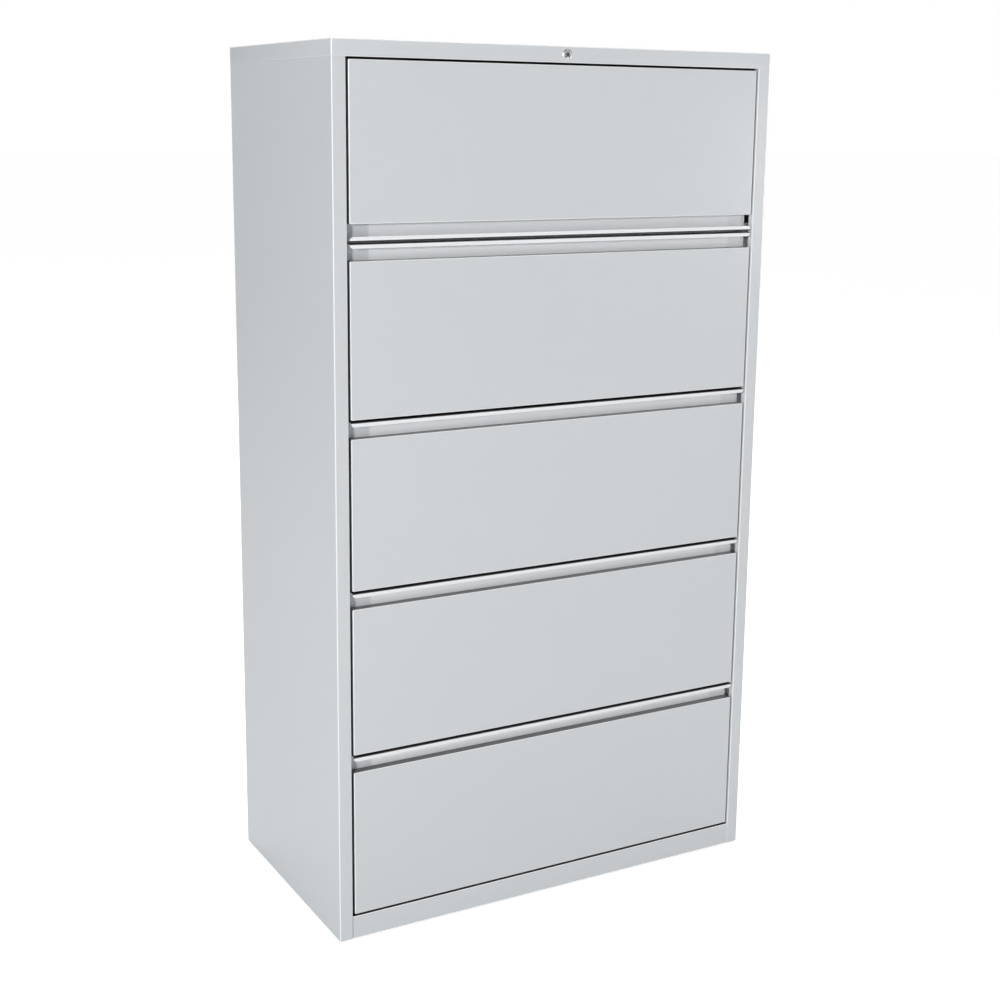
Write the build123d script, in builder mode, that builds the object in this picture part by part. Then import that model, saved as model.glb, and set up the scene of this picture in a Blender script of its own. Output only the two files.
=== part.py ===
from build123d import *
import os

# Five-high lateral file cabinet in folded sheet steel: a receding door over a top compartment, and four
# file drawers on three-member slides. Millimetres. The origin is on the floor under the middle of the
# cabinet, +Z is up, +X is to the right of someone who faces the drawers, and the fronts look towards -Y.

os.makedirs("parts", exist_ok=True)

# Overall sizes
width = 914.4
depth = 489.0
door_pitch = 307.0  # middle of the gap above a front to the middle of the gap below it
drawer_pitch = 310.0
bottom_pitch = 313.0
cap_height = 29.0
base_height = 49.0  # floor to the top of the base rail
floor_gap = 5.0  # floor to the bottom edge of the panels

# Sheet metal
skin = 1.2  # visible panels
liner = 0.9  # inner and back panels
tray_gauge = 1.0
frame_gauge = 1.5
slide_gauge = 1.2
bend = 2.0  # outer radius of a fold in the skin
slide_bend = 1.5

# Case
stile_width = 26.0
stile_return = 13.0
rear_flange = 18.0
cap_lip = 12.0
cap_seam = 0.8  # rounding of the cap's lower edge, which shows as a seam
rail_return = 24.0
pan_height = 14.0
pan_gap = 0.5  # stile return to the pan
pan_corner = 1.0
back_margin = 1.5  # side of the cabinet to the back panel's edge
reveal = 4.0  # gap above and below a front
side_reveal = 4.5  # gap beside a front
upright_width = 40.0
upright_setback = 10.0  # front end of the slides to the front uprights
upright_back_gap = 2.0  # rear uprights to the back end of the slides
shelf_rise = 11.3  # door's lower edge up to the shelf's top
shelf_flange = 14.0
shelf_side_gap = 0.2
notch_side_gap = 0.6
notch_front_gap = 1.0
rivet_rows = 7
rivet_margin = 60.0
rivet_head_radius = 3.2
rivet_head_height = 1.4
rivet_rounding = 0.8
rivet_radius = 1.6
rivet_clearance = 0.05
rivet_bulb_radius = 2.4
rivet_bulb_length = 3.0
ballast_thickness = 12.0
ballast_length = 700.0
ballast_width = 110.0

# Fronts
pull_height = 29.5  # top edge of a front down to the edge of its face
pull_depth = 18.0
lip_height = 8.0
pull_end_gap = 2.7  # the pull's channel stops short of the lip's ends
liner_margin = 2.0  # edges of a front to the edges of its liner

# Drawers
tray_height = 240.0
tray_lift = 12.0  # lower edge of a front up to the tray's floor
tray_flange = 8.0
tray_back_clearance = 44.5  # tray to the outside of the cabinet's back
rail_strip = 2.0
rail_strip_height = 19.0
rail_inset = 6.0
rail_corner = 1.0
slide_thickness = 12.7
slide_front_gap = 2.4  # back of a front to the slides
slide_back_gap = 36.5  # slides to the outside of the cabinet's back
slide_rise = 72.0  # lower edge of a front up to the slides' centre line
outer_half_height = 23.0
outer_flange_reach = 9.0
middle_offset = 4.0
middle_half_height = 19.0
middle_flange_reach = 11.0
inner_half_height = 14.0
inner_flange_length = 3.9

# Receding door
pivot_setback = 12.4  # back of the door to the hinge line
pivot_drop = 35.0  # door's top edge down to the hinge line
pin_radius = 4.0
pin_clearance = 0.06
pin_fit = 0.02
track_side_gap = 2.2  # door's edge to the tracks
track_half_height = 18.0
track_depth = 12.0
track_setback = 2.0  # front end of the slides to the tracks
standoff_setback = 30.0  # front end of a track to its first stand-off
standoff_margin = 3.0
carriage_clearance = 0.5
carriage_front = 6.0
carriage_rear = 40.0
carriage_side_gap = 1.6
standoff_width = 30.0
bracket_side_gap = 19.7  # door's edge to the hinge ear's outer face
ear_thickness = 3.0
ear_radius = 8.0
bracket_foot = 15.0
bracket_foot_thickness = 2.0
bracket_half_height = 14.0
tie_side_gap = 0.7
tie_plate = 3.0
tie_radius = 5.0
tie_offset = 16.0
hub_radius = 8.0
pin_tail = 5.0

# Lock
bezel_radius = 10.0
bezel_height = 2.0
bezel_rounding = 1.2
housing_radius = 8.0
housing_length = 20.0
housing_clearance = 0.05
plug_radius = 5.7
plug_clearance = 0.05
plug_recess = 0.4
keyway_width = 1.6
keyway_height = 7.0
keyway_depth = 12.0
cam_radius = 9.0
cam_gauge = 2.0
cam_throw = 6.0
cam_pin_radius = 2.0
cam_pin_length = 5.0
cam_gap = 2.0  # housing to cam
link_gap = 1.5  # cam to link
link_gauge = 2.0
link_half_height = 5.0
yoke_half_width = 14.0
yoke_slot_half_width = 3.7
yoke_slot_gap = 0.4
yoke_drop = 12.0
yoke_rise = 6.5
bar_thickness = 3.2
bar_width = 12.0
bar_side_gap = 1.5  # outside of the tracks to the bar
bar_bottom = 60.0
bar_back_gap = 2.0  # bar to the front uprights
bar_slot_gap = 0.6
head_length = 12.6
head_height = 14.0
head_lift = 10.8  # underside of the cap to the bar's head
ramp_land = 0.6
ramp_gap = 0.3
guide_gap = 0.4
guide_plate = 2.0
guide_half_width = 5.0
guide_rise = 150.0  # lower edge of a front up to the bar's guide
guide_back = 1.0
guide_stations = [150.0, 330.0]

# Levelling glides
glide_inset = 60.0
foot_radius = 17.0
foot_height = 7.0
stud_radius = 4.95
stud_length = 33.0
nut_width = 17.0
nut_height = 8.0
nut_clearance = 0.05
foot_rounding = 3.0
pan_hole_radius = 5.5

# Places that follow from the sizes
opening_pitches = [door_pitch] + 3 * [drawer_pitch] + [bottom_pitch]
height = base_height + reveal + sum(opening_pitches) + cap_height
cap_bottom = height - cap_height
front_y = -depth / 2
back_y = depth / 2
side_x = width / 2
stile_x = side_x - stile_width
upright_x = stile_x + skin
front_half = stile_x - side_reveal
liner_y = front_y + pull_depth + skin
tray_front = liner_y + liner
tray_back = back_y - tray_back_clearance
tray_half = upright_x - slide_thickness
pan_bottom = floor_gap + skin
pan_top = pan_bottom + pan_height
slide_front = tray_front + slide_front_gap
slide_back = back_y - slide_back_gap
front_upright_y = slide_front + upright_setback
rear_upright_y = slide_back - upright_back_gap - upright_width
track_x = front_half + track_side_gap + track_depth
bar_inner = track_x + bar_side_gap
bar_outer = bar_inner + bar_thickness
bar_span = (front_upright_y - bar_back_gap - bar_width, front_upright_y - bar_back_gap)
flange_y = back_y - liner  # outer face of the side panels' rear flanges


def edge_levels():
    """Heights of the lower and upper edge of each front, from the door down."""
    levels = []
    upper = cap_bottom - reveal / 2
    for pitch in opening_pitches:
        lower = upper - pitch
        levels.append((lower + reveal / 2, upper - reveal / 2))
        upper = lower
    return levels


def folded(corners, gauge, radii, side=Side.LEFT):
    """Cross-section of a folded sheet: a path through the corners, thickened to one side."""
    with BuildSketch() as section:
        with BuildLine():
            FilletPolyline(*corners, radius=radii)
            offset(amount=gauge, side=side)
        make_face()
    return section.sketch


def block(x_span, y_span, z_span, mode=Mode.ADD):
    """Box between two limits on each axis, in the part being built."""
    with Locations([(sum(x_span) / 2, sum(y_span) / 2, sum(z_span) / 2)]):
        Box(x_span[1] - x_span[0], y_span[1] - y_span[0], z_span[1] - z_span[0], mode=mode)


def rod_x(radius, x_span, y, z, mode=Mode.ADD):
    """Round bar along X."""
    with BuildSketch(Plane.YZ.offset(x_span[0])) as disc:
        with Locations((y, z)):
            Circle(radius)
    extrude(disc.sketch, amount=x_span[1] - x_span[0], mode=mode)


def rod_y(radius, y_span, x, z, mode=Mode.ADD):
    """Round bar along Y."""
    with BuildSketch(Plane.XZ.offset(-y_span[1])) as disc:
        with Locations((x, z)):
            Circle(radius)
    extrude(disc.sketch, amount=y_span[1] - y_span[0], mode=mode)


def rod_z(radius, z_span, x, y, mode=Mode.ADD):
    """Round bar along Z."""
    with BuildSketch(Plane.XY.offset(z_span[0])) as disc:
        with Locations((x, y)):
            Circle(radius)
    extrude(disc.sketch, amount=z_span[1] - z_span[0], mode=mode)


def section_along_y(section, y_span):
    """Extrude a section drawn in X and Z along Y."""
    with BuildSketch(Plane.XZ.offset(-y_span[1])) as profile:
        add(section)
    extrude(profile.sketch, amount=y_span[1] - y_span[0])


def save(part, name):
    """Label a finished piece and write it."""
    part.label = name
    export_step(part, f"parts/{name}.step")


fronts = edge_levels()
door_low, door_high = fronts[0]


# ---------------------------------------------------------------- case

# Side panels: rear flange, side, stile and the stile's return in one folded sheet. Rivets close the rear
# flange.
rivet_x = side_x - rear_flange / 2
rivet_span = cap_bottom - floor_gap - 2 * rivet_margin
rivet_z = [floor_gap + rivet_margin + rivet_span * row / (rivet_rows - 1) for row in range(rivet_rows)]
panel_corners = [
    (-side_x + rear_flange, flange_y),
    (-side_x, flange_y),
    (-side_x, front_y),
    (-stile_x, front_y),
    (-stile_x, front_y + stile_return),
]
with BuildPart() as left_side_panel:
    with BuildSketch(Plane.XY.offset(floor_gap)):
        add(folded(panel_corners, skin, bend))
    extrude(amount=cap_bottom - floor_gap)
    flange_span = (flange_y - 2 * skin, flange_y + skin)
    for z in rivet_z:
        rod_y(rivet_radius + rivet_clearance, flange_span, -rivet_x, z, Mode.SUBTRACT)
save(left_side_panel.part, "left_side_panel")

with BuildPart() as right_side_panel:
    mirror(left_side_panel.part, about=Plane.YZ)
save(right_side_panel.part, "right_side_panel")

# Back panel: a flat sheet over the rear flanges.
with BuildPart() as back_panel:
    block((-side_x + back_margin, side_x - back_margin), (flange_y, back_y), (floor_gap, cap_bottom))
    for z in rivet_z:
        for x in (-rivet_x, rivet_x):
            rod_y(rivet_radius + rivet_clearance, (flange_y - skin, back_y + skin), x, z, Mode.SUBTRACT)
save(back_panel.part, "back_panel")

# Rivets: a domed head outside, a shank through both sheets and a bulb behind them.
bulb_front = flange_y - skin - rivet_bulb_length
with BuildPart() as back_panel_rivets:
    for z in rivet_z:
        for x in (-rivet_x, rivet_x):
            rod_y(rivet_head_radius, (back_y, back_y + rivet_head_height), x, z)
            rod_y(rivet_radius, (flange_y - skin, back_y), x, z)
            rod_y(rivet_bulb_radius, (bulb_front, flange_y - skin), x, z)
    head_rims = back_panel_rivets.edges().filter_by(GeomType.CIRCLE).group_by(Axis.Y)[-1]
    fillet(head_rims, rivet_rounding)
save(back_panel_rivets.part, "back_panel_rivets")

# Top cap: a pan with an inward lip that sits on the panels' top edges, slotted for the lock bar.
lock_z = height - cap_height / 2
with BuildPart() as top_cap:
    with BuildSketch(Plane.XY.offset(cap_bottom)):
        RectangleRounded(width, depth, bend)
    extrude(amount=cap_height)
    fillet(top_cap.edges().group_by(Axis.Z)[-1], bend)
    fillet(top_cap.edges().group_by(Axis.Z)[0], cap_seam)
    with BuildSketch(Plane.XY.offset(cap_bottom + skin)):
        RectangleRounded(width - 2 * skin, depth - 2 * skin, bend - skin)
    extrude(amount=cap_height - 2 * skin, mode=Mode.SUBTRACT)
    with BuildSketch(Plane.XY.offset(cap_bottom)):
        Rectangle(width - 2 * cap_lip, depth - 2 * cap_lip)
    extrude(amount=skin, mode=Mode.SUBTRACT)
    block(
        (bar_outer - head_length - bar_slot_gap, bar_outer + bar_slot_gap),
        (bar_span[0] - bar_slot_gap, bar_span[1] + bar_slot_gap),
        (cap_bottom, cap_bottom + skin),
        Mode.SUBTRACT,
    )
    rod_y(housing_radius + housing_clearance, (front_y - skin, front_y + 2 * skin), 0, lock_z, Mode.SUBTRACT)
save(top_cap.part, "top_cap")

# Base rail: a channel between the stiles.
rail_corners = [
    (front_y + rail_return, base_height),
    (front_y, base_height),
    (front_y, floor_gap),
    (front_y + rail_return, floor_gap),
]
with BuildPart() as base_rail:
    with BuildSketch(Plane.YZ):
        add(folded(rail_corners, skin, bend))
    extrude(amount=stile_x, both=True)
save(base_rail.part, "base_rail")

# Base pan: the bottom of the case, a pan turned down at its edges, with a hole for each glide.
pan_front = front_y + stile_return + pan_gap
pan_back = flange_y - skin
glide_places = [
    ("front_left", -side_x + glide_inset, front_y + glide_inset),
    ("front_right", side_x - glide_inset, front_y + glide_inset),
    ("rear_left", -side_x + glide_inset, back_y - glide_inset),
    ("rear_right", side_x - glide_inset, back_y - glide_inset),
]
pan_half = side_x - skin
with BuildPart() as base_pan:
    block((-pan_half, pan_half), (pan_front, pan_back), (pan_bottom, pan_top))
    fillet(base_pan.edges().filter_by(Axis.Z), pan_corner)
    block(
        (-pan_half + skin, pan_half - skin),
        (pan_front + skin, pan_back - skin),
        (pan_bottom, pan_top - skin),
        Mode.SUBTRACT,
    )
    for place, x, y in glide_places:
        rod_z(pan_hole_radius, (pan_bottom, pan_top), x, y, Mode.SUBTRACT)
save(base_pan.part, "base_pan")

# Counterweight: a plate on the base pan, near the back.
ballast_back = back_y - glide_inset - nut_width
with BuildPart() as counterweight:
    block(
        (-ballast_length / 2, ballast_length / 2),
        (ballast_back - ballast_width, ballast_back),
        (pan_top, pan_top + ballast_thickness),
    )
save(counterweight.part, "counterweight")

# Shelf under the top compartment, on the uprights, with corners cut back for the lock bar.
shelf_top = door_low + shelf_rise
shelf_half = side_x - skin - shelf_side_gap
shelf_under = shelf_top - skin
notch_x = upright_x + notch_side_gap
notch_y = front_upright_y - notch_front_gap
with BuildPart() as compartment_shelf:
    block((-shelf_half, shelf_half), (slide_front, slide_back), (shelf_under, shelf_top))
    for y in (slide_front, slide_back - skin):
        block((-notch_x, notch_x), (y, y + skin), (shelf_under - shelf_flange, shelf_under))
    for low, high in ((-shelf_half, -notch_x), (notch_x, shelf_half)):
        block((low, high), (slide_front, notch_y), (shelf_under, shelf_top), Mode.SUBTRACT)
save(compartment_shelf.part, "compartment_shelf")

# Uprights: channels from the base pan to the shelf, open towards the side panels.
def upright(y, name):
    """Left and right channel at one depth."""
    corners = [
        (side_x - skin, y + upright_width),
        (upright_x, y + upright_width),
        (upright_x, y),
        (side_x - skin, y),
    ]
    with BuildPart() as right:
        with BuildSketch(Plane.XY.offset(pan_top)):
            add(folded(corners, frame_gauge, bend))
        extrude(amount=shelf_under - pan_top)
    with BuildPart() as left:
        mirror(right.part, about=Plane.YZ)
    save(right.part, f"{name}_right_upright")
    save(left.part, f"{name}_left_upright")


upright(front_upright_y, "front")
upright(rear_upright_y, "rear")


# ---------------------------------------------------------------- fronts


def front_skin(low, high, pull_on_top):
    """Front of a drawer or of the door: lip, pull, face, lower return and side returns in one sheet.

    The path starts at the lip's free edge. A door's pull is the same turned upside down.
    """
    face_edge = high - pull_height
    path = [
        (front_y, high - lip_height),
        (front_y, high),
        (liner_y, high),
        (liner_y, face_edge - skin),
        (front_y + skin, face_edge - skin),
        (front_y + skin, low + skin),
        (liner_y, low + skin),
    ]
    radii = [bend, bend, bend, bend - skin, bend - skin]
    side = Side.RIGHT
    face_span = (low, face_edge)
    cut_span = (face_edge, high + skin)
    if not pull_on_top:
        path = [(y, low + high - z) for y, z in path]
        side = Side.LEFT
        face_span = (low + high - face_edge, high)
        cut_span = (low - skin, low + high - face_edge)
    with BuildPart() as sheet:
        with BuildSketch(Plane.YZ):
            add(folded(path, skin, radii, side))
        extrude(amount=front_half, both=True)
        corner = front_y + bend + skin
        for outer in (-front_half, front_half - skin):
            side_span = (outer, outer + skin)
            block(side_span, (corner, liner_y), face_span)
            block(side_span, (front_y + skin, corner), (face_span[0] + bend, face_span[1] - bend))
        channel = (corner, liner_y + skin)
        for outer in (-front_half, front_half - pull_end_gap):
            block((outer, outer + pull_end_gap), channel, cut_span, Mode.SUBTRACT)
    return sheet.part


def front_liner(low, high):
    """Flat inner sheet that closes a front from behind."""
    half = front_half - liner_margin
    with BuildPart() as sheet:
        block((-half, half), (liner_y, tray_front), (low + liner_margin, high - liner_margin))
    return sheet.part


# ---------------------------------------------------------------- drawers


def slide_member(half_height, web, reach, side):
    """Left and right channel of a slide. Web and reach are distances inboard of the uprights."""
    corners = [
        (upright_x - reach, half_height),
        (upright_x - web, half_height),
        (upright_x - web, -half_height),
        (upright_x - reach, -half_height),
    ]
    return folded(corners, slide_gauge, slide_bend, side)


def slide_pair(section, z):
    """The member on both sides, at one height."""
    with BuildPart() as pair:
        with BuildSketch(Plane.XZ.offset(-slide_back)):
            with Locations((0, z)):
                add(section)
        extrude(amount=slide_back - slide_front)
        mirror(about=Plane.YZ)
    return pair.part


outer_section = slide_member(outer_half_height, 0.0, outer_flange_reach, Side.RIGHT)
middle_section = slide_member(middle_half_height, middle_offset, middle_flange_reach, Side.RIGHT)
inner_section = slide_member(
    inner_half_height, slide_thickness, slide_thickness - inner_flange_length, Side.LEFT
)

for number, (low, high) in enumerate(fronts[1:], start=1):
    name = f"drawer_{number}"
    tray_low = low + tray_lift
    tray_high = tray_low + tray_height
    slide_z = low + slide_rise
    save(front_skin(low, high, True), f"{name}_front")
    save(front_liner(low, high), f"{name}_liner")

    # Tray: floor, sides with inward top flanges and a back; the liner closes it in front.
    tray_path = [
        (-tray_half + tray_flange, tray_high),
        (-tray_half, tray_high),
        (-tray_half, tray_low),
        (tray_half, tray_low),
        (tray_half, tray_high),
        (tray_half - tray_flange, tray_high),
    ]
    tray_inner = tray_half - tray_gauge
    with BuildPart() as tray:
        section_along_y(folded(tray_path, tray_gauge, bend), (tray_front, tray_back))
        block(
            (-tray_inner, tray_inner),
            (tray_back - tray_gauge, tray_back),
            (tray_low + tray_gauge, tray_high - tray_gauge),
        )
    save(tray.part, f"{name}_tray")

    # Hang rails: strips across the tray, under its top flanges, for folder hooks.
    rail_low = tray_high - tray_gauge - rail_strip_height
    with BuildPart() as hang_rails:
        for y in (tray_front + rail_inset, tray_back - tray_gauge - rail_inset - rail_strip):
            block((-tray_inner, tray_inner), (y, y + rail_strip), (rail_low, tray_high - tray_gauge))
        fillet(hang_rails.edges().filter_by(Axis.Y).group_by(Axis.Z)[-1], rail_corner)
    save(hang_rails.part, f"{name}_hang_rails")

    save(slide_pair(outer_section, slide_z), f"{name}_slide_outers")
    save(slide_pair(middle_section, slide_z), f"{name}_slide_middles")
    save(slide_pair(inner_section, slide_z), f"{name}_slide_inners")


# ---------------------------------------------------------------- receding door

save(front_skin(door_low, door_high, False), "door_front")
save(front_liner(door_low, door_high), "door_liner")

pivot_y = tray_front + pivot_setback
pivot_z = door_high - pivot_drop
track_low = pivot_z - track_half_height
track_high = pivot_z + track_half_height
track_span = (slide_front + track_setback, slide_back)

# Tracks: channels on stand-offs, outboard of the door's edges.
track_corners = [
    (track_x - track_depth, track_low),
    (track_x, track_low),
    (track_x, track_high),
    (track_x - track_depth, track_high),
]
with BuildPart() as door_tracks:
    section_along_y(folded(track_corners, slide_gauge, slide_bend), track_span)
    for y in (track_span[0] + standoff_setback, slide_back - standoff_width):
        block(
            (track_x, side_x - skin),
            (y, y + standoff_width),
            (track_low + standoff_margin, track_high - standoff_margin),
        )
    mirror(about=Plane.YZ)
save(door_tracks.part, "door_tracks")

# Carriages: blocks that run inside the tracks, each bored for its hinge pin.
block_outer = track_x - slide_gauge - carriage_clearance
block_inner = front_half + carriage_side_gap
with BuildPart() as door_carriages:
    block(
        (block_inner, block_outer),
        (pivot_y - carriage_front, pivot_y + carriage_rear),
        (track_low + slide_gauge + carriage_clearance, track_high - slide_gauge - carriage_clearance),
    )
    rod_x(pin_radius + pin_fit, (block_inner, block_outer), pivot_y, pivot_z, Mode.SUBTRACT)
    mirror(about=Plane.YZ)
save(door_carriages.part, "door_carriages")

# Hinge pins: from each carriage in through the tie bar's end and the door's bracket.
ear_outer = front_half - bracket_side_gap
ear_inner = ear_outer - ear_thickness
with BuildPart() as door_hinge_pins:
    rod_x(pin_radius, (ear_inner - pin_tail, block_outer - carriage_clearance), pivot_y, pivot_z)
    mirror(about=Plane.YZ)
save(door_hinge_pins.part, "door_hinge_pins")

# Tie bar: a round bar between two end plates on the pins; it keeps the carriages level.
tie_outer = front_half - tie_side_gap
tie_y = pivot_y + tie_offset
tie_z = pivot_z - tie_offset
with BuildPart() as door_tie_bar:
    rod_x(tie_radius, (-tie_outer, tie_outer), tie_y, tie_z)
    for end in (-tie_outer, tie_outer - tie_plate):
        with BuildSketch(Plane.YZ.offset(end)):
            SlotCenterPoint(((pivot_y + tie_y) / 2, (pivot_z + tie_z) / 2), (tie_y, tie_z), 2 * hub_radius)
            with Locations((pivot_y, pivot_z)):
                Circle(pin_radius + pin_fit, mode=Mode.SUBTRACT)
        extrude(amount=tie_plate)
save(door_tie_bar.part, "door_tie_bar")

# Hinge brackets: a foot on the door's liner and an ear that turns on the pin.
with BuildPart() as door_hinge_brackets:
    block(
        (ear_outer - bracket_foot, ear_outer),
        (tray_front, tray_front + bracket_foot_thickness),
        (pivot_z - bracket_half_height, pivot_z + bracket_half_height),
    )
    with BuildSketch(Plane.YZ.offset(ear_inner)):
        SlotCenterPoint(((tray_front + pivot_y) / 2, pivot_z), (pivot_y, pivot_z), 2 * ear_radius)
        with Locations((tray_front - ear_radius, pivot_z)):
            Rectangle(2 * ear_radius, 4 * ear_radius, mode=Mode.SUBTRACT)
        with Locations((pivot_y, pivot_z)):
            Circle(pin_radius + pin_clearance, mode=Mode.SUBTRACT)
    extrude(amount=ear_thickness)
    mirror(about=Plane.YZ)
save(door_hinge_brackets.part, "door_hinge_brackets")


# ---------------------------------------------------------------- lock

# Housing: a bored barrel with a bezel, through the cap's front flange.
barrel_back = front_y + housing_length
with BuildPart() as lock_housing:
    rod_y(housing_radius, (front_y, barrel_back), 0, lock_z)
    rod_y(bezel_radius, (front_y - bezel_height, front_y), 0, lock_z)
    fillet(lock_housing.edges().filter_by(GeomType.CIRCLE).group_by(Axis.Y)[0], bezel_rounding)
    rod_y(plug_radius + plug_clearance, (front_y - bezel_height, barrel_back), 0, lock_z, Mode.SUBTRACT)
save(lock_housing.part, "lock_housing")

# Plug: turns in the housing; the keyway is a blind slot.
plug_front = front_y - bezel_height + plug_recess
plug_back = barrel_back + cam_gap
with BuildPart() as lock_plug:
    rod_y(plug_radius, (plug_front, plug_back), 0, lock_z)
    block(
        (-keyway_width / 2, keyway_width / 2),
        (plug_front, plug_front + keyway_depth),
        (lock_z - keyway_height / 2, lock_z + keyway_height / 2),
        Mode.SUBTRACT,
    )
save(lock_plug.part, "lock_plug")

# Cam: a disc on the plug's end with an off-centre pin.
cam_back = plug_back + cam_gauge
with BuildPart() as lock_cam:
    rod_y(cam_radius, (plug_back, cam_back), 0, lock_z)
    rod_y(cam_pin_radius, (cam_back, cam_back + cam_pin_length), 0, lock_z - cam_throw)
save(lock_cam.part, "lock_cam")

# Lock bar: a strip beside the uprights. Its head, welded on top, rises into the cap and has a ramp.
head_top = height - skin - head_lift
head_low = head_top - head_height
head_inner = bar_outer - head_length
ramp_run = head_length - ramp_land
with BuildPart() as lock_bar:
    block((bar_inner, bar_outer), bar_span, (bar_bottom, head_low))
save(lock_bar.part, "lock_bar")

with BuildPart() as lock_bar_head:
    with BuildSketch(Plane.XZ.offset(-bar_span[1])):
        with BuildLine():
            Polyline(
                (head_inner, head_low),
                (bar_outer, head_low),
                (bar_outer, head_top),
                (head_inner + ramp_run, head_top),
                (head_inner, head_top - ramp_run),
                close=True,
            )
        make_face()
    extrude(amount=bar_width)
save(lock_bar_head.part, "lock_bar_head")

# Link: a strip in the cap with a yoke round the cam's pin and an end cut to the bar's ramp.
link_front = cam_back + link_gap
link_span = (link_front, link_front + link_gauge)
link_low = lock_z - link_half_height
link_high = lock_z + link_half_height
ramp_shift = ramp_gap * 2**0.5
end_low = head_inner + (link_low - (head_top - ramp_run)) - ramp_shift
slot_low = lock_z - cam_throw - cam_pin_radius - yoke_slot_gap
slot_high = lock_z + cam_pin_radius + yoke_slot_gap
with BuildPart() as lock_link:
    with BuildSketch(Plane.XZ.offset(-link_span[1])):
        with BuildLine():
            Polyline(
                (0, link_low),
                (end_low, link_low),
                (end_low + 2 * link_half_height, link_high),
                (0, link_high),
                close=True,
            )
        make_face()
    extrude(amount=link_gauge)
    block((-yoke_half_width, yoke_half_width), link_span, (lock_z - yoke_drop, lock_z + yoke_rise))
    block((-yoke_slot_half_width, yoke_slot_half_width), link_span, (slot_low, slot_high), Mode.SUBTRACT)
save(lock_link.part, "lock_link")

# Guides: hangers under the cap for the link, and plates on the right side panel for the bar.
hanger_span = (link_span[0] - guide_gap - guide_plate, link_span[1] + guide_gap + guide_plate)
with BuildPart() as lock_guides:
    for x in guide_stations:
        x_span = (x - guide_half_width, x + guide_half_width)
        block(x_span, hanger_span, (link_low - guide_gap - guide_plate, height - skin))
        block(
            x_span,
            (link_span[0] - guide_gap, link_span[1] + guide_gap),
            (link_low - guide_gap, link_high + guide_gap),
            Mode.SUBTRACT,
        )
    for low, high in fronts[1:]:
        z_span = (low + guide_rise, low + guide_rise + guide_plate)
        block(
            (bar_inner - guide_gap - guide_plate, side_x - skin),
            (bar_span[0] - guide_gap - guide_plate, bar_span[1] + guide_gap + guide_back),
            z_span,
        )
        block(
            (bar_inner - guide_gap, bar_outer + guide_gap),
            (bar_span[0] - guide_gap, bar_span[1] + guide_gap),
            z_span,
            Mode.SUBTRACT,
        )
save(lock_guides.part, "lock_guides")


# ---------------------------------------------------------------- levelling glides

with BuildPart() as glide_nuts:
    for place, x, y in glide_places:
        with BuildSketch(Plane.XY.offset(pan_top)):
            with Locations((x, y)):
                RegularPolygon(nut_width / 2, 6, major_radius=False)
                Circle(stud_radius + nut_clearance, mode=Mode.SUBTRACT)
        extrude(amount=nut_height)
save(glide_nuts.part, "glide_nuts")

for place, x, y in glide_places:
    with BuildPart() as glide:
        rod_z(foot_radius, (0, foot_height), x, y)
        fillet(glide.edges().group_by(Axis.Z)[-1], foot_rounding)
        rod_z(stud_radius, (foot_height, foot_height + stud_length), x, y)
    save(glide.part, f"glide_{place}")

print("height", height, "front edges", fronts)
print("pivot", pivot_y, pivot_z, "lock", lock_z, "slides", slide_front, slide_back)
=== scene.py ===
import math

import bmesh
import bpy
import numpy as np
from mathutils import Matrix, Vector


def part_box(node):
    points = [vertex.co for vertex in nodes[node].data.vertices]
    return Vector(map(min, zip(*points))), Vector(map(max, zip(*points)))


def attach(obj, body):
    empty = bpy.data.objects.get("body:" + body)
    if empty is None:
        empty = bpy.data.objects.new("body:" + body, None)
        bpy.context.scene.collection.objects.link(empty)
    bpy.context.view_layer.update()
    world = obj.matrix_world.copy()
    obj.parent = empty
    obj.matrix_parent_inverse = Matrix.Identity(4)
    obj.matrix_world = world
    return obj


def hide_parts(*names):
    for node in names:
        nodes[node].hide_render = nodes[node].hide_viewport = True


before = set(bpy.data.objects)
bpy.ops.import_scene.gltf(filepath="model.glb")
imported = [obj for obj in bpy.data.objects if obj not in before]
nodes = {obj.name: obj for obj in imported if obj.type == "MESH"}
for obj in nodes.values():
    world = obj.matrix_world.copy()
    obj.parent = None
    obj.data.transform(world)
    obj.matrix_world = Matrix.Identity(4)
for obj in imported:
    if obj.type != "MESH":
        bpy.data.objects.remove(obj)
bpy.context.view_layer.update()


# ---- Side panels
# Each is one sheet of 1.2 mm steel. A rear flange, the side, the 26 mm stile beside the fronts and the
# stile's return are bent from it on a press brake, and the bends keep a 2 mm outside radius under the
# powder coat.
SKIN = 0.0012
BEND = 0.002
CREASE = 35.0  # degrees: sharper edges stay crisp


def brake_bend(corners, radius, steps=6, land=0.0008):
    """Path of a sheet bent at its corners: at each one an arc tangent to both legs, its centre one radius
    to the inside of the turn, swept from one leg's direction to the next one's, with a short flat land on
    either side."""
    corners = np.asarray(corners, float)
    leg = np.diff(corners, axis=0)
    leg /= np.linalg.norm(leg, axis=1, keepdims=True)
    into, out = leg[:-1], leg[1:]
    turn = np.arctan2(into[:, 0] * out[:, 1] - into[:, 1] * out[:, 0], (into * out).sum(1))
    radius = np.broadcast_to(np.asarray(radius, float), turn.shape)
    start = corners[1:-1] - into * (radius * np.tan(np.abs(turn) / 2))[:, None]
    centre = start + (radius * np.sign(turn))[:, None] * np.stack([-into[:, 1], into[:, 0]], 1)
    spoke = (start - centre)[:, None]
    angle = turn[:, None] * np.linspace(0.0, 1.0, steps + 1)
    cosine, sine = np.cos(angle)[..., None], np.sin(angle)[..., None]
    arc = centre[:, None] + spoke * cosine + np.stack([-spoke[..., 1], spoke[..., 0]], -1) * sine
    before = arc[:, :1] - into[:, None] * land
    after = arc[:, -1:] + out[:, None] * land
    bends = np.concatenate([before, arc, after], 1).reshape(-1, 2)
    return np.concatenate([corners[:1], bends, corners[-1:]])


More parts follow.
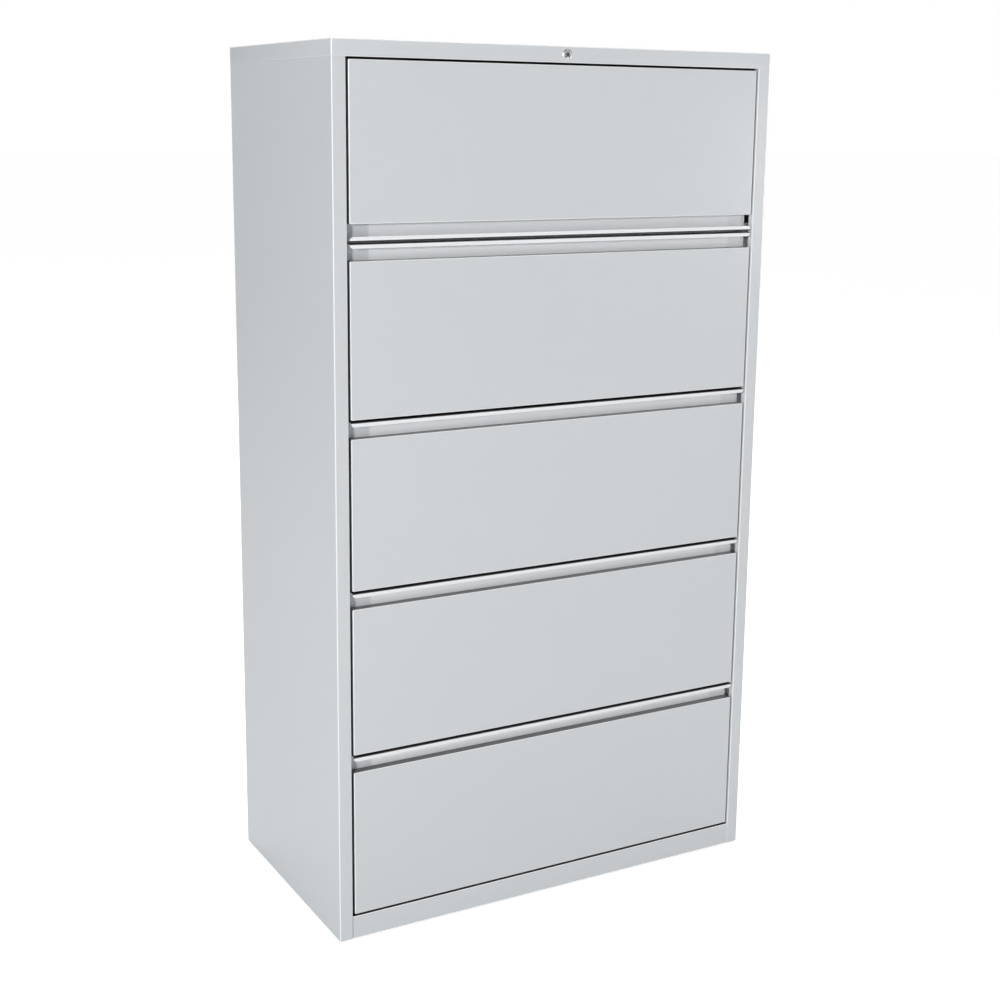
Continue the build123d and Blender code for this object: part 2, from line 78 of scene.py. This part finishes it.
def sheet_section(path, gauge):
    """Closed outline of a sheet: the path, then the same path moved one gauge to its left and taken
    backwards. A point moves along the sum of its two legs' normals, divided by one plus the cosine of the
    turn between them."""
    leg = np.diff(path, axis=0)
    leg /= np.linalg.norm(leg, axis=1, keepdims=True)
    normal = np.stack([-leg[:, 1], leg[:, 0]], 1)
    before = np.concatenate([normal[:1], normal])
    after = np.concatenate([normal, normal[-1:]])
    mitre = (before + after) / (1.0 + (before * after).sum(1, keepdims=True))
    return np.concatenate([path, (path + gauge * mitre)[::-1]])


def paint_light_along(path, painted_points, painted_value=-1.0, inside=-1.0):
    """Painted light at each point of a sheet's section. A painted highlight lies on a bend, where twice the
    product of the path's two direction cosines rises from nought to one. The outside points named take one
    given value, painted shade where it is negative and a painted highlight where it is positive, and the
    points of the inside all have one value."""
    ahead = np.diff(path, axis=0, append=path[-1:] * 2 - path[-2:-1])
    behind = np.diff(path, axis=0, prepend=path[:1] * 2 - path[1:2])
    along = sum(leg / np.linalg.norm(leg, axis=1, keepdims=True) for leg in (ahead, behind))
    along /= np.linalg.norm(along, axis=1, keepdims=True)
    outside = np.where(painted_points, painted_value, 2 * np.abs(along[:, 0] * along[:, 1]))
    return np.concatenate([outside, np.full(len(path), inside)])


def ring_faces(rows, columns):
    """Four-sided faces between the neighbouring rows of a grid whose columns close on themselves."""
    row, column = np.meshgrid(np.arange(rows - 1), np.arange(columns), indexing="ij")
    following = (column + 1) % columns
    corners = (row, column), (row, following), (row + 1, following), (row + 1, column)
    return np.stack([r * columns + c for r, c in corners], -1).reshape(-1, 4)


def formed_steel(name, points, faces, finish, body, stands_for, light_paint=None):
    """Mesh of a closed shell from arrays of points and faces, with its faces turned outwards. The piece
    moves with its body and stands for the node named, and keeps its painted light at each point as an
    attribute."""
    mesh = bpy.data.meshes.new(name)
    mesh.from_pydata(points.reshape(-1, 3), [], faces)
    shell = bmesh.new()
    shell.from_mesh(mesh)
    bmesh.ops.recalc_face_normals(shell, faces=shell.faces)
    shell.to_mesh(mesh)
    shell.free()
    mesh.shade_smooth()
    mesh.set_sharp_from_angle(angle=math.radians(CREASE))
    mesh.materials.append(finish)
    if light_paint is not None:
        painted_light = mesh.attributes.new("painted_light", "FLOAT", "POINT")
        painted_light.data.foreach_set("value", np.ascontiguousarray(light_paint, np.float32).ravel())
    piece = bpy.data.objects.new(name, mesh)
    bpy.context.scene.collection.objects.link(piece)
    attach(piece, body)
    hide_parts(stands_for)


def sheet_faces(rows, columns):
    """Faces of a section carried along a line: the ring faces between rows, and across each end a strip
    that joins the sheet's one face to the other."""
    half = columns // 2
    near = np.arange(half - 1)
    far = columns - 1 - near
    strip = np.stack([near, near + 1, far - 1, far], 1)
    return np.concatenate([ring_faces(rows, columns), strip, strip + (rows - 1) * columns]).tolist()


def shader(name):
    """New material with a principled shader, its nodes and links, and the shader node."""
    material = bpy.data.materials.new(name)
    material.use_nodes = True
    tree = material.node_tree
    return material, tree.nodes, tree.links, tree.nodes["Principled BSDF"]


def noise(made, joined, place, scale, detail=2.0, rough=0.5):
    """Noise node on a place socket."""
    grain = made.new("ShaderNodeTexNoise")
    grain.inputs["Scale"].default_value = scale
    grain.inputs["Detail"].default_value = detail
    grain.inputs["Roughness"].default_value = rough
    joined.new(place, grain.inputs["Vector"])
    return grain.outputs["Fac"]


def spread(made, joined, value, low, high):
    """Map a nought-to-one value on to a range."""
    span = made.new("ShaderNodeMapRange")
    span.inputs["To Min"].default_value = low
    span.inputs["To Max"].default_value = high
    joined.new(value, span.inputs["Value"])
    return span.outputs["Result"]


def powder_coat(name, shade, dark_shade, gloss, peel, sag):
    """Baked powder coat: two near greys drifting over hundreds of millimetres, a fine orange peel, and the
    slow waviness of the sheet beneath it, as two bumps one on the other. Its colour also carries painted
    light from a
    point attribute: a near-white painted highlight where the value rises above 0.15, and near-black painted
    shade where it falls below nought."""
    # Painted shade colour for gaps and seams, and painted highlight colour for bends and lips.
    gap_shade_colour, bend_highlight_colour = (0.03, 0.03, 0.032), (0.95, 0.965, 0.98)
    material, made, joined, coat = shader(name)
    place = made.new("ShaderNodeTexCoord").outputs["Object"]
    drift = noise(made, joined, place, 2.2, 3.0)
    tint = made.new("ShaderNodeMix")
    tint.data_type = "RGBA"
    tint.inputs["A"].default_value = (*dark_shade, 1.0)
    tint.inputs["B"].default_value = (*shade, 1.0)
    joined.new(spread(made, joined, drift, -0.4, 1.4), tint.inputs["Factor"])
    painted_light = made.new("ShaderNodeAttribute")
    painted_light.attribute_name = "painted_light"
    colour = tint.outputs["Result"]
    for start, end, layer in ((0.0, -1.0, gap_shade_colour), (0.15, 1.0, bend_highlight_colour)):
        cover = made.new("ShaderNodeMapRange")
        cover.inputs["From Min"].default_value = start
        cover.inputs["From Max"].default_value = end
        joined.new(painted_light.outputs["Fac"], cover.inputs["Value"])
        over = made.new("ShaderNodeMix")
        over.data_type = "RGBA"
        joined.new(cover.outputs["Result"], over.inputs["Factor"])
        joined.new(colour, over.inputs["A"])
        over.inputs["B"].default_value = (*layer, 1.0)
        colour = over.outputs["Result"]
    joined.new(colour, coat.inputs["Base Color"])
    speck = noise(made, joined, place, 650.0, 2.0, 0.6)
    joined.new(spread(made, joined, speck, gloss - 0.05, gloss + 0.05), coat.inputs["Roughness"])
    wave = made.new("ShaderNodeBump")
    wave.inputs["Strength"].default_value = 1.0
    wave.inputs["Distance"].default_value = sag
    joined.new(noise(made, joined, place, 3.2, 1.0), wave.inputs["Height"])
    orange = made.new("ShaderNodeBump")
    orange.inputs["Strength"].default_value = 1.0
    orange.inputs["Distance"].default_value = peel
    joined.new(noise(made, joined, place, 420.0, 2.0, 0.55), orange.inputs["Height"])
    joined.new(wave.outputs["Normal"], orange.inputs["Normal"])
    joined.new(orange.outputs["Normal"], coat.inputs["Normal"])
    joined.new(orange.outputs["Normal"], coat.inputs["Coat Normal"])
    coat.inputs["Coat Weight"].default_value = 0.4
    coat.inputs["Coat Roughness"].default_value = 0.16
    return material


pale_grey, deep_grey = (0.640, 0.668, 0.690), (0.628, 0.657, 0.680)
cabinet_paint = powder_coat("cabinet_paint", pale_grey, deep_grey, gloss=0.42, peel=1.2e-5, sag=6.0e-4)

left_low, left_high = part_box("left_side_panel")
side_x = -left_low.x
front_y = left_low.y
flange_y = left_high.y
rail_low, rail_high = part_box("base_rail")
stile_x = rail_high.x
rear_flange = 0.018
stile_return = 0.013
# Painted highlight on the stile's return.
return_highlight = 0.6
panel_corners = [
    (-side_x + rear_flange, flange_y),
    (-side_x, flange_y),
    (-side_x, front_y),
    (-stile_x, front_y),
    (-stile_x, front_y + stile_return),
]
panel_path = brake_bend(panel_corners, BEND)
panel_section = sheet_section(panel_path, SKIN)
# Painted highlight on the bends and on the stile's return beyond its bend; none on the inside.
on_return = (panel_path[:, 0] > -stile_x - 1e-6) & (panel_path[:, 1] > front_y + 0.6 * BEND)
panel_light = paint_light_along(panel_path, on_return, return_highlight, inside=0.0)
panel_levels = np.array([left_low.z, left_high.z])
for hand, turned in (("left", 1.0), ("right", -1.0)):
    level, point = np.meshgrid(np.arange(len(panel_levels)), np.arange(len(panel_section)), indexing="ij")
    panel = np.stack(
        [turned * panel_section[point, 0], panel_section[point, 1], panel_levels[level]],
        -1,
    )
    formed_steel(
        f"{hand}_panel_skin",
        panel,
        sheet_faces(*panel.shape[:2]),
        cabinet_paint,
        "cabinet",
        f"{hand}_side_panel",
        np.tile(panel_light, (len(panel_levels), 1)),
    )


# ---- Top cap
# A shallow pan of the same sheet, welded and dressed at its corners, set over the panels' top edges. Its
# lower edge turns in on a small radius, which leaves the fine seam line under it, and this lip stops short
# of the lock bar's head.
def pan_shell(halves, corner, profile, light_paint):
    """Points, faces and painted light of a pan: an outline with rounded corners, repeated at each point of a
    profile of insets and heights. A point is the corner's centre plus the corner's radius along the
    outline's normal. The radius shrinks with the inset down to a least one, and the first and last outlines
    are closed by flat faces. A painted highlight lies on the outermost outlines' corners too, by twice the
    product of the normal's parts, where no painted shade is given."""
    least_radius, outermost = 5.0e-5, 1.0e-4
    quarter = np.linspace(0.0, math.pi / 2, 6)
    angle = (quarter[None] + np.arange(4)[:, None] * math.pi / 2).reshape(-1)
    normal = np.stack([np.cos(angle), np.sin(angle)], -1)
    turn = np.repeat(np.array([(1, 1), (-1, 1), (-1, -1), (1, -1)], float), len(quarter), axis=0)
    inset = profile[:, :1, None]
    radius = np.maximum(corner - inset, least_radius)
    flat = turn * (np.asarray(halves) - inset - radius) + radius * normal
    height = np.broadcast_to(profile[:, 1:, None], (*flat.shape[:2], 1))
    shell = np.concatenate([flat, height], -1)
    rows, columns = shell.shape[:2]
    last = (rows - 1) * columns
    faces = ring_faces(rows, columns).tolist()
    light_paint = light_paint[:, None]
    corner_highlight = 2 * np.abs(normal[:, 0] * normal[:, 1]) * (profile[:, :1] < outermost)
    painted_light = np.where(light_paint < 0, light_paint, np.maximum(light_paint, corner_highlight))
    return shell, faces + [list(range(columns)), list(range(last, last + columns))], painted_light


cap_low, cap_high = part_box("top_cap")
PAN_CORNER = 0.0024
lip_bend = 0.0011
bar_clearance = 0.0005
top_inset = 0.008
cap_lip = cap_high.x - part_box("lock_bar_head")[1].x - bar_clearance
cap_path = brake_bend(
    [(top_inset, cap_high.z), (0.0, cap_high.z), (0.0, cap_low.z), (cap_lip, cap_low.z)],
    [BEND, lip_bend],
)
# Painted shade under the turned-in lip and on the inside, which darkens the seam line under the cap; a
# painted highlight on the bends.
under_lip = (cap_path[:, 0] > 0.64 * lip_bend) & (cap_path[:, 1] < cap_low.z + SKIN)
cap_light = paint_light_along(cap_path, under_lip, painted_value=-0.6, inside=-0.6)
cap_section = sheet_section(cap_path, SKIN)
cap, cap_faces, cap_painted_light = pan_shell((cap_high.x, cap_high.y), PAN_CORNER, cap_section, cap_light)
formed_steel("cap_skin", cap, cap_faces, cabinet_paint, "cabinet", "top_cap", cap_painted_light)


# ---- Base rail
# A channel of the same sheet between the stiles, flush with them, so only a fine seam shows at each end.
rail_return = rail_high.y - rail_low.y
rail_corners = [
    (rail_low.y + rail_return, rail_high.z),
    (rail_low.y, rail_high.z),
    (rail_low.y, rail_low.z),
    (rail_low.y + rail_return, rail_low.z),
]
rail_path = brake_bend(rail_corners, BEND)
rail_section = sheet_section(rail_path, SKIN)
# Painted highlight on the bends, and near-black painted shade on the returns behind the face and on the
# inside.
rail_light = paint_light_along(rail_path, rail_path[:, 0] > rail_low.y + 0.6 * BEND)
seam = 0.0002
rail_ends = np.array([rail_low.x + seam, rail_high.x - seam])
end, point = np.meshgrid(np.arange(2), np.arange(len(rail_section)), indexing="ij")
rail = np.stack([rail_ends[end], rail_section[point, 0], rail_section[point, 1]], -1)
formed_steel(
    "rail_skin",
    rail,
    sheet_faces(*rail.shape[:2]),
    cabinet_paint,
    "cabinet",
    "base_rail",
    np.tile(rail_light, (2, 1)),
)


# ---- Drawer and door fronts
# Each is a steel pan whose sheet goes on from one long edge into the pull: a back wall, a flange and an 8 mm
# lip with rounded free corners, below on the door. Its colour carries painted light: a painted highlight on
# the bends and over the lip, the recess painted lighter, painted shade near the recess's ends and near-black
# painted shade on the returns in the gaps round a front.
LIP_CORNER = 0.007
LIP_BEND = 0.0025
BEND_POINTS = 9  # a land, seven points of arc and a land
pull_height = 0.0295
lip_height = 0.008
pull_end_gap = 0.0027
# Painted highlight over the lip, and the recess's inside painted lighter.
lip_highlight = 0.75
recess_light = 0.6
# Painted shade: the recess's inside is darker over 36 mm at each end, fading out by 43 mm, more at the left
# end.
stations = np.array([0.0, 0.036, 0.043])  # from each end of the pull
recess_end_shade = np.array([0.62, 0.62, 0.0, 0.0, 0.25, 0.25])  # at the stations, from left to right
liner_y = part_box("drawer_1_liner")[0].y
for name, body in [("door", "door")] + [(f"drawer_{n}", f"drawer_{n}") for n in range(1, 5)]:
    low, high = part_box(f"{name}_front")
    half = high.x
    face_top = high.z - pull_height
    return_depth = liner_y - low.y
    face_path = brake_bend([(0.008, 0.0), (0.0, 0.0), (0.0, return_depth)], BEND)
    # Painted highlight on the face's bends, and near-black painted shade on its returns in the gap round the
    # front and on its inside.
    face_light = paint_light_along(face_path, face_path[:, 1] > 0.6 * BEND, painted_value=-0.88, inside=-0.88)
    outline = (half, (face_top - low.z) / 2)
    face_section = sheet_section(face_path, -SKIN)
    face, face_faces, face_painted_light = pan_shell(outline, PAN_CORNER, face_section, face_light)
    face = np.stack([face[..., 0], low.y + face[..., 2], face[..., 1] + (face_top + low.z) / 2], -1)
    face = face.reshape(-1, 3)
    # The pull's path starts at the lip's free edge; its half length shrinks round the lip's corner and,
    # behind the lip's bend, where the channel stops short of the ends.
    rise = LIP_CORNER * (1 - np.cos(np.linspace(0.0, math.pi / 2, 9)[1:]))
    rise = rise[rise < lip_height - LIP_BEND - 0.0003]
    free_edge = np.stack([np.full(len(rise), low.y), high.z - lip_height + rise], 1)
    path = brake_bend(
        [(low.y, high.z - lip_height), (low.y, high.z), (liner_y, high.z), (liner_y, face_top - SKIN)],
        [LIP_BEND, BEND],
        land=0.0002,
    )
    step_y = low.y + LIP_BEND + SKIN
    step = [(step_y, high.z), (step_y + 1e-5, high.z)]
    lip_end = 1 + BEND_POINTS
    path = np.concatenate([path[:1], free_edge, path[1:lip_end], step, path[lip_end:]])
    above_edge = np.clip(path[:, 1] - (high.z - lip_height), 0.0, LIP_CORNER)
    rounding = LIP_CORNER - np.sqrt(LIP_CORNER**2 - (LIP_CORNER - above_edge) ** 2)
    reach = half - np.where(path[:, 0] > step_y + 5e-6, pull_end_gap, rounding * (path[:, 0] < step_y))
    section = sheet_section(path, -SKIN)
    # Painted shade on the lip's top flange in the gap between lips; a painted highlight on the bends and
    # over the lip; the recess painted lighter and, towards its ends, darker.
    on_flange = (path[:, 0] > low.y + 0.12 * LIP_BEND) & (path[:, 1] > high.z - LIP_BEND)
    pull_light = paint_light_along(path, on_flange, inside=recess_light)
    order = np.arange(len(pull_light))
    on_lip = (order < len(free_edge) + lip_end) & (pull_light >= 0)
    pull_light = np.where(on_lip, np.maximum(pull_light, lip_highlight), pull_light)
    pull_light = pull_light - recess_end_shade[:, None] * (order >= len(path))
    reach = np.concatenate([reach, reach[::-1]])
    across = np.concatenate([stations[:, None] - reach, (reach - stations[:, None])[::-1]])
    pull = np.stack([across, *(np.broadcast_to(side, across.shape) for side in section.T)], -1)
    pull_faces = sheet_faces(*pull.shape[:2])
    points = np.concatenate([face, pull.reshape(-1, 3)])
    faces = face_faces + (np.array(pull_faces) + len(face)).tolist()
    if name == "door":
        points[:, 2] = low.z + high.z - points[:, 2]
    front_painted_light = np.concatenate([face_painted_light.ravel(), pull_light.ravel()])
    formed_steel(
        f"{name}_skin",
        points,
        faces,
        cabinet_paint,
        body,
        f"{name}_front",
        front_painted_light,
    )


# ---- Inner sheet metal
# Trays, liners, shelf, uprights and base pan have the same colour in a thinner, duller coat. The back panel
# is riveted on from outside in the full coat.
def refinish(names, finish):
    """Give the nodes named a finish in place of the plain one."""
    for node_name in names:
        nodes[node_name].data.materials.clear()
        nodes[node_name].data.materials.append(finish)


inner_pale, inner_deep = (0.56, 0.58, 0.60), (0.545, 0.567, 0.588)
inner_paint = powder_coat("inner_paint", inner_pale, inner_deep, gloss=0.5, peel=1.4e-5, sag=5.0e-4)
inner_nodes = ["base_pan", "compartment_shelf", "door_liner"]
inner_nodes += [f"{end}_{hand}_upright" for end in ("front", "rear") for hand in ("left", "right")]
inner_nodes += [f"drawer_{n}_{part}" for n in range(1, 5) for part in ("liner", "tray")]
refinish(inner_nodes, inner_paint)
refinish(["back_panel"], cabinet_paint)


# ---- Zinc-plated hardware
# Slides, hang rails, tracks, lock strips and rivets are rolled or pressed steel in bright zinc plate.
def zinc_plated(name, shade, gloss):
    """Zinc plate: fine rolling lines along the length, and a faint bloom that dulls it in patches."""
    material, made, joined, plate = shader(name)
    place = made.new("ShaderNodeTexCoord").outputs["Object"]
    stretch = made.new("ShaderNodeMapping")
    stretch.inputs["Scale"].default_value = (900.0, 14.0, 900.0)
    joined.new(place, stretch.inputs["Vector"])
    lines = noise(made, joined, stretch.outputs["Vector"], 1.0, 3.0)
    bloom = noise(made, joined, place, 24.0, 4.0, 0.6)
    tint = made.new("ShaderNodeMix")
    tint.data_type = "RGBA"
    tint.inputs["A"].default_value = (shade[0] * 0.86, shade[1] * 0.88, shade[2] * 0.92, 1.0)
    tint.inputs["B"].default_value = (*shade, 1.0)
    joined.new(bloom, tint.inputs["Factor"])
    joined.new(tint.outputs["Result"], plate.inputs["Base Color"])
    joined.new(spread(made, joined, bloom, gloss + 0.12, gloss - 0.08), plate.inputs["Roughness"])
    plate.inputs["Metallic"].default_value = 1.0
    rolled = made.new("ShaderNodeBump")
    rolled.inputs["Distance"].default_value = 4.0e-6
    rolled.inputs["Strength"].default_value = 1.0
    joined.new(lines, rolled.inputs["Height"])
    joined.new(rolled.outputs["Normal"], plate.inputs["Normal"])
    return material


zinc_plate = zinc_plated("zinc_plate", (0.74, 0.75, 0.76), 0.34)
zinc_nodes = ["back_panel_rivets", "door_tracks", "lock_guides", "glide_nuts", "door_hinge_brackets"]
zinc_nodes += ["door_hinge_pins", "door_tie_bar", "lock_cam", "lock_link", "lock_bar", "lock_bar_head"]
slide_parts = ("hang_rails", "slide_outers", "slide_middles", "slide_inners")
zinc_nodes += [f"drawer_{n}_{part}" for n in range(1, 5) for part in slide_parts]
refinish(zinc_nodes, zinc_plate)
glide_steel = zinc_plated("glide_steel", (0.6, 0.6, 0.61), 0.4)
refinish([f"glide_{end}_{hand}" for end in ("front", "rear") for hand in ("left", "right")], glide_steel)


# ---- Lock
# A cam lock in the cap's front flange: a chromed barrel whose bezel has a rolled rim, round a plug with a
# keyway. Its cam drives a zinc link in the cap, and the link's ramp pushes the lock bar down beside the
# uprights.
def turned_ring(profile, centre, steps=64):
    """Ring turned on a lathe: a closed outline of radii and depths, swept round an axis along Y through a
    centre."""
    angle = np.linspace(0.0, 2 * math.pi, steps, endpoint=False)[:, None]
    radius, depth = profile[:, 0], profile[:, 1]
    return np.stack(
        [
            centre[0] + radius * np.cos(angle),
            centre[1] + np.broadcast_to(depth, (steps, len(profile))),
            centre[2] + radius * np.sin(angle),
        ],
        -1,
    )


def bright_chrome(name, face_y, shade_radius, gloss):
    """Chrome plate: a mirror that fine marks blur a little. It turns to near-black painted shade behind the
    face, down in the keyway, and as a painted shade disc within a given radius of the axis, round the
    keyway's mouth."""
    material, made, joined, plate = shader(name)
    place = made.new("ShaderNodeTexCoord").outputs["Object"]
    fade = 0.0006
    parts = made.new("ShaderNodeSeparateXYZ")
    joined.new(place, parts.inputs["Vector"])
    behind = made.new("ShaderNodeMapRange")
    behind.inputs["From Min"].default_value = face_y
    behind.inputs["From Max"].default_value = face_y + fade
    joined.new(parts.outputs["Y"], behind.inputs["Value"])
    rise = made.new("ShaderNodeMath")
    rise.operation = "SUBTRACT"
    joined.new(parts.outputs["Z"], rise.inputs[0])
    rise.inputs[1].default_value = (plug_low.z + plug_high.z) / 2
    spoke = made.new("ShaderNodeCombineXYZ")
    joined.new(parts.outputs["X"], spoke.inputs["X"])
    joined.new(rise.outputs["Value"], spoke.inputs["Z"])
    reach = made.new("ShaderNodeVectorMath")
    reach.operation = "LENGTH"
    joined.new(spoke.outputs["Vector"], reach.inputs[0])
    shade_disc = made.new("ShaderNodeMapRange")
    shade_disc.inputs["From Min"].default_value = shade_radius + fade
    shade_disc.inputs["From Max"].default_value = shade_radius
    joined.new(reach.outputs["Value"], shade_disc.inputs["Value"])
    either = made.new("ShaderNodeMath")
    either.operation = "MAXIMUM"
    joined.new(behind.outputs["Result"], either.inputs[0])
    joined.new(shade_disc.outputs["Result"], either.inputs[1])
    # Painted shade: near-black in the keyway and in a disc round its mouth.
    tint = made.new("ShaderNodeMix")
    tint.data_type = "RGBA"
    tint.inputs["A"].default_value = (0.86, 0.86, 0.87, 1.0)
    tint.inputs["B"].default_value = (0.03, 0.03, 0.03, 1.0)
    joined.new(either.outputs["Value"], tint.inputs["Factor"])
    joined.new(tint.outputs["Result"], plate.inputs["Base Color"])
    plate.inputs["Metallic"].default_value = 1.0
    marks = noise(made, joined, place, 1400.0)
    joined.new(spread(made, joined, marks, gloss, gloss + 0.12), plate.inputs["Roughness"])
    return material


housing_low, housing_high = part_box("lock_housing")
plug_low, plug_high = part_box("lock_plug")
# Painted shade inside the barrel's bore, in the plug's keyway and round its mouth.
chrome = bright_chrome("lock_chrome", front_y + 0.001, 0.001, 0.2)
plug_chrome_keyway_shade = bright_chrome("plug_chrome_keyway_shade", plug_low.y + 0.0001, 0.0022, 0.12)
bore = plug_high.x + 0.00005
bezel_depth = front_y - housing_low.y
barrel_radius = 0.008
dome = 0.0014
rim = brake_bend(
    [
        (bore, housing_high.y - front_y),
        (bore, -bezel_depth + 0.0003),
        (bore + dome / 2, -bezel_depth),
        (housing_high.x - dome, -bezel_depth + 0.0001),
        (housing_high.x, -0.0006),
        (housing_high.x, 0.0),
        (barrel_radius, 0.0),
        (barrel_radius, housing_high.y - front_y),
    ],
    [0.0001, 0.0004, dome, 0.0004, 0.00008, 0.00008],
    land=0.00005,
)
housing = turned_ring(rim, (0.0, front_y, (housing_low.z + housing_high.z) / 2))
housing_faces = ring_faces(*housing.shape[:2])
column = np.arange(housing.shape[1])
last_strip = np.stack([column, np.roll(column, -1)], 1)
closing = np.concatenate([last_strip + (housing.shape[0] - 1) * housing.shape[1], last_strip[:, ::-1]], 1)
formed_steel(
    "lock_barrel",
    housing,
    np.concatenate([housing_faces, closing]).tolist(),
    chrome,
    "cabinet",
    "lock_housing",
)
refinish(["lock_plug"], plug_chrome_keyway_shade)


# ---- Door carriages and counterweight
# The carriages are moulded nylon blocks. The counterweight is raw hot-rolled plate under mill scale.
def dull_solid(name, shade, pale_shade, gloss, grain, relief, metal):
    """Even colour broken by a grain in colour, gloss and a shallow bump."""
    material, made, joined, plate = shader(name)
    place = made.new("ShaderNodeTexCoord").outputs["Object"]
    mottle = noise(made, joined, place, grain, 5.0, 0.65)
    tint = made.new("ShaderNodeMix")
    tint.data_type = "RGBA"
    tint.inputs["A"].default_value = (*shade, 1.0)
    tint.inputs["B"].default_value = (*pale_shade, 1.0)
    joined.new(mottle, tint.inputs["Factor"])
    joined.new(tint.outputs["Result"], plate.inputs["Base Color"])
    joined.new(spread(made, joined, mottle, gloss - 0.1, gloss + 0.1), plate.inputs["Roughness"])
    plate.inputs["Metallic"].default_value = metal
    bump = made.new("ShaderNodeBump")
    bump.inputs["Distance"].default_value = relief
    joined.new(mottle, bump.inputs["Height"])
    joined.new(bump.outputs["Normal"], plate.inputs["Normal"])
    return material


nylon = dull_solid("carriage_nylon", (0.022, 0.022, 0.024), (0.04, 0.04, 0.042), 0.42, 500.0, 2e-5, 0.0)
refinish(["door_carriages"], nylon)
ballast = dull_solid("ballast_steel", (0.05, 0.052, 0.06), (0.13, 0.115, 0.1), 0.55, 30.0, 1e-4, 0.7)
refinish(["counterweight"], ballast)


# ---- Floor, light and camera
# A pale floor and a soft white room that is dimmer ahead of the fronts, both near white where the camera
# sees them. The key light is to the left of the camera, with weaker ones overhead, to the right, behind and
# on top, so the folds catch a line of light and the flat sheets stay even.
floor_mesh = bpy.data.meshes.new("floor")
floor_half = 60.0
floor_corners = [(x * floor_half, y * floor_half, 0.0) for x, y in ((-1, -1), (1, -1), (1, 1), (-1, 1))]
floor_mesh.from_pydata(floor_corners, [], [(0, 1, 2, 3)])
floor = bpy.data.objects.new("floor", floor_mesh)
bpy.context.scene.collection.objects.link(floor)
floor_paint, made, joined, plate = shader("floor_paint")
plate.inputs["Base Color"].default_value = (0.88, 0.88, 0.88, 1.0)
plate.inputs["Roughness"].default_value = 0.9
plate.inputs["Specular IOR Level"].default_value = 0.0
plate.inputs["Emission Color"].default_value = (1.0, 1.0, 1.0, 1.0)
away = made.new("ShaderNodeVectorMath")
away.operation = "LENGTH"
joined.new(made.new("ShaderNodeTexCoord").outputs["Object"], away.inputs[0])
lift = made.new("ShaderNodeMapRange")
lift.inputs["From Min"].default_value = 0.5
lift.inputs["From Max"].default_value = 3.2
lift.inputs["To Min"].default_value = 0.14
lift.inputs["To Max"].default_value = 0.1
joined.new(away.outputs["Value"], lift.inputs["Value"])
sweep = made.new("ShaderNodeMix")
joined.new(made.new("ShaderNodeLightPath").outputs["Is Camera Ray"], sweep.inputs["Factor"])
joined.new(lift.outputs["Result"], sweep.inputs["A"])
sweep.inputs["B"].default_value = 0.72
joined.new(sweep.outputs["Result"], plate.inputs["Emission Strength"])
floor_mesh.materials.append(floor_paint)

world = bpy.data.worlds.new("studio")
bpy.context.scene.world = world
world.use_nodes = True
made, joined = world.node_tree.nodes, world.node_tree.links
room = made["Background"]
toward = made.new("ShaderNodeVectorMath")
toward.operation = "DOT_PRODUCT"
joined.new(made.new("ShaderNodeTexCoord").outputs["Generated"], toward.inputs[0])
toward.inputs[1].default_value = (0.48, -0.86, 0.17)
dim = made.new("ShaderNodeMapRange")
dim.interpolation_type = "SMOOTHSTEP"
dim.inputs["From Min"].default_value = 0.45
dim.inputs["From Max"].default_value = 0.97
dim.inputs["To Min"].default_value = 0.32
dim.inputs["To Max"].default_value = 0.22
joined.new(toward.outputs["Value"], dim.inputs["Value"])
seen = made.new("ShaderNodeLightPath")
backdrop = made.new("ShaderNodeMix")
joined.new(seen.outputs["Is Camera Ray"], backdrop.inputs["Factor"])
joined.new(dim.outputs["Result"], backdrop.inputs["A"])
backdrop.inputs["B"].default_value = 1.0
joined.new(backdrop.outputs["Result"], room.inputs["Strength"])
room.inputs["Color"].default_value = (1.0, 1.0, 1.0, 1.0)


def softbox(name, place, aim, size, power):
    """Square area light at a place, turned to face a point."""
    lamp = bpy.data.lights.new(name, "AREA")
    lamp.shape = "SQUARE"
    lamp.size = size
    lamp.energy = power
    light = bpy.data.objects.new(name, lamp)
    light.location = place
    light.rotation_euler = (Vector(aim) - Vector(place)).to_track_quat("-Z", "Y").to_euler()
    bpy.context.scene.collection.objects.link(light)


softbox("key", (-5.1, -4.6, 2.25), (0.0, 0.0, 0.8), 0.8, 225.0)
softbox("overhead", (1.9, -2.3, 4.4), (0.0, 0.0, 0.8), 0.7, 24.0)
softbox("right", (4.5, -4.5, 1.2), (0.0, 0.0, 0.7), 0.8, 34.0)
softbox("behind", (2.2, 5.2, 2.6), (0.0, 0.0, 0.8), 1.4, 75.0)
softbox("top", (0.0, 0.9, 5.6), (0.0, 0.0, 1.6), 1.6, 75.0)

azimuth, elevation, roll = math.radians(-29.252), math.radians(11.726), math.radians(0.627)
back = np.array(
    [math.sin(azimuth) * math.cos(elevation), -math.cos(azimuth) * math.cos(elevation), math.sin(elevation)]
)
right = np.array([math.cos(azimuth), math.sin(azimuth), 0.0])
up = np.cross(back, right)
tilted_right = math.cos(roll) * right + math.sin(roll) * up
tilted_up = math.cos(roll) * up - math.sin(roll) * right
lens = bpy.data.cameras.new("camera")
camera = bpy.data.objects.new("camera", lens)
bpy.context.scene.collection.objects.link(camera)
turn = Matrix(np.stack([tilted_right, tilted_up, back], 1).tolist()).to_4x4()
camera.matrix_world = Matrix.Translation((-1.5345, -2.7535, 1.5043)) @ turn
lens.sensor_width = 36.0
lens.lens = 57.5
lens.shift_y = -0.05
lens.clip_end = 200.0
bpy.context.scene.camera = camera
bpy.context.scene.view_settings.view_transform = "Standard"
